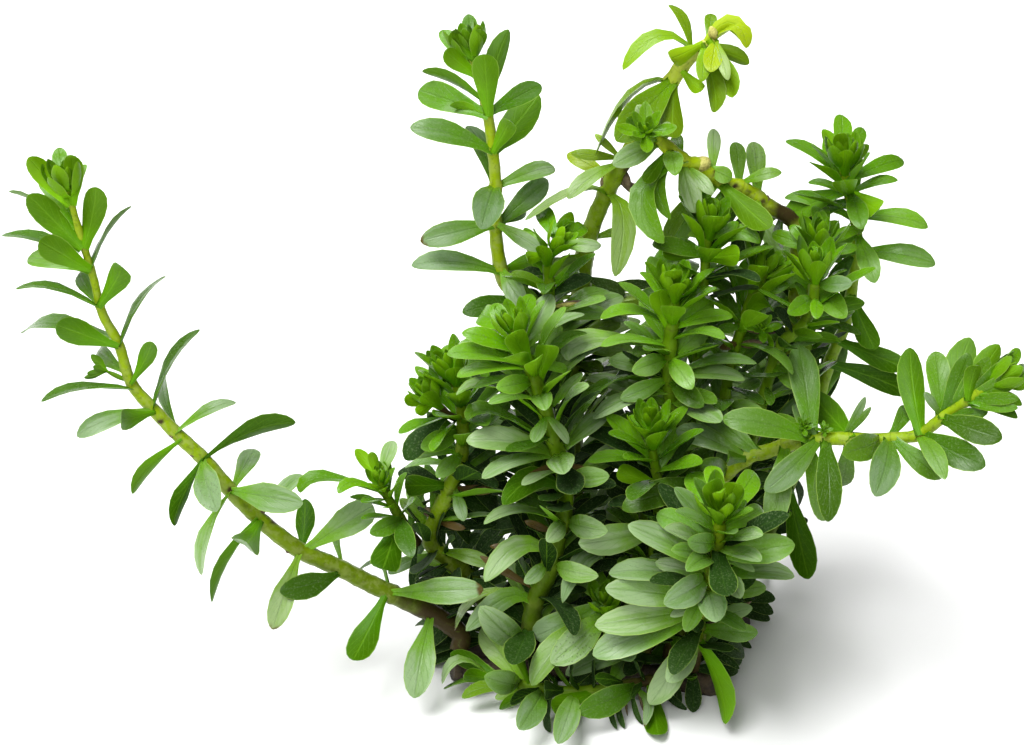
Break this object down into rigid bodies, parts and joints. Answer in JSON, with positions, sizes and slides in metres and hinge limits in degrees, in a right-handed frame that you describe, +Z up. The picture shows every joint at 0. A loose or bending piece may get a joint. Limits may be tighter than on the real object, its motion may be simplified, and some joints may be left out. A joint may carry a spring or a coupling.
{
  "type": "aquarium stem plant",
  "caption": "Rooted clump of a leafy aquarium stem plant: upright shoots with whorls of spoon-shaped leaves, one long creeping runner and one leaning shoot, cut off flat underneath.",
  "frame": {"origin": "foot of the clump, on the flat cut underside of the rootstock", "axes": "+Z up along the upright shoots, +X towards the leaning shoot and away from the runner, +Y towards the back of the clump"},
  "size_m": [0.1895, 0.0676, 0.1294],
  "materials": {
    "leafy_shoot": "satin",
    "grown_leaf": "satin",
    "stem": "satin",
    "rootstock": "matte"
  },
  "bodies": {
    "root": {"arched_shoot": "leafy_shoot", "back_left_shoot": "leafy_shoot", "back_right_shoot": "leafy_shoot", "centre_back_shoot": "leafy_shoot", "centre_left_shoot": "leafy_shoot", "centre_shoot": "leafy_shoot", "creeping_shoot": "leafy_shoot", "front_shoot": "leafy_shoot", "left_low_shoot": "leafy_shoot", "left_shoot": "leafy_shoot", "left_side_shoot": "leafy_shoot", "low_front_shoot": "leafy_shoot", "nodding_shoot": "leafy_shoot", "right_inner_shoot": "leafy_shoot", "right_leaf_01": "grown_leaf", "right_leaf_02": "grown_leaf", "right_leaf_03": "grown_leaf", "right_leaf_04": "grown_leaf", "right_leaf_05": "grown_leaf", "right_leaf_06": "grown_leaf", "right_leaf_07": "grown_leaf", "right_leaf_08": "grown_leaf", "right_leaf_09": "grown_leaf", "right_leaf_10": "grown_leaf", "right_mid_shoot": "leafy_shoot", "right_stem": "stem", "right_upper_shoot": "leafy_shoot", "rootstock": "rootstock", "runner_leaf_01": "grown_leaf", "runner_leaf_02": "grown_leaf", "runner_leaf_03": "grown_leaf", "runner_leaf_04": "grown_leaf", "runner_leaf_05": "grown_leaf", "runner_leaf_06": "grown_leaf", "runner_leaf_07": "grown_leaf", "runner_leaf_08": "grown_leaf", "runner_leaf_09": "grown_leaf", "runner_leaf_10": "grown_leaf", "runner_leaf_11": "grown_leaf", "runner_leaf_12": "grown_leaf", "runner_leaf_13": "grown_leaf", "runner_leaf_14": "grown_leaf", "runner_leaf_15": "grown_leaf", "runner_leaf_16": "grown_leaf", "runner_leaf_17": "grown_leaf", "runner_leaf_18": "grown_leaf", "runner_leaf_19": "grown_leaf", "runner_leaf_20": "grown_leaf", "runner_leaf_21": "grown_leaf", "runner_leaf_22": "grown_leaf", "runner_leaf_23": "grown_leaf", "runner_leaf_24": "grown_leaf", "runner_leaf_25": "grown_leaf", "runner_leaf_26": "grown_leaf", "runner_leaf_27": "grown_leaf", "runner_leaf_28": "grown_leaf", "runner_leaf_29": "grown_leaf", "runner_stem": "stem", "small_front_shoot": "leafy_shoot", "small_left_shoot": "leafy_shoot"}
  },
  "joints": []
}
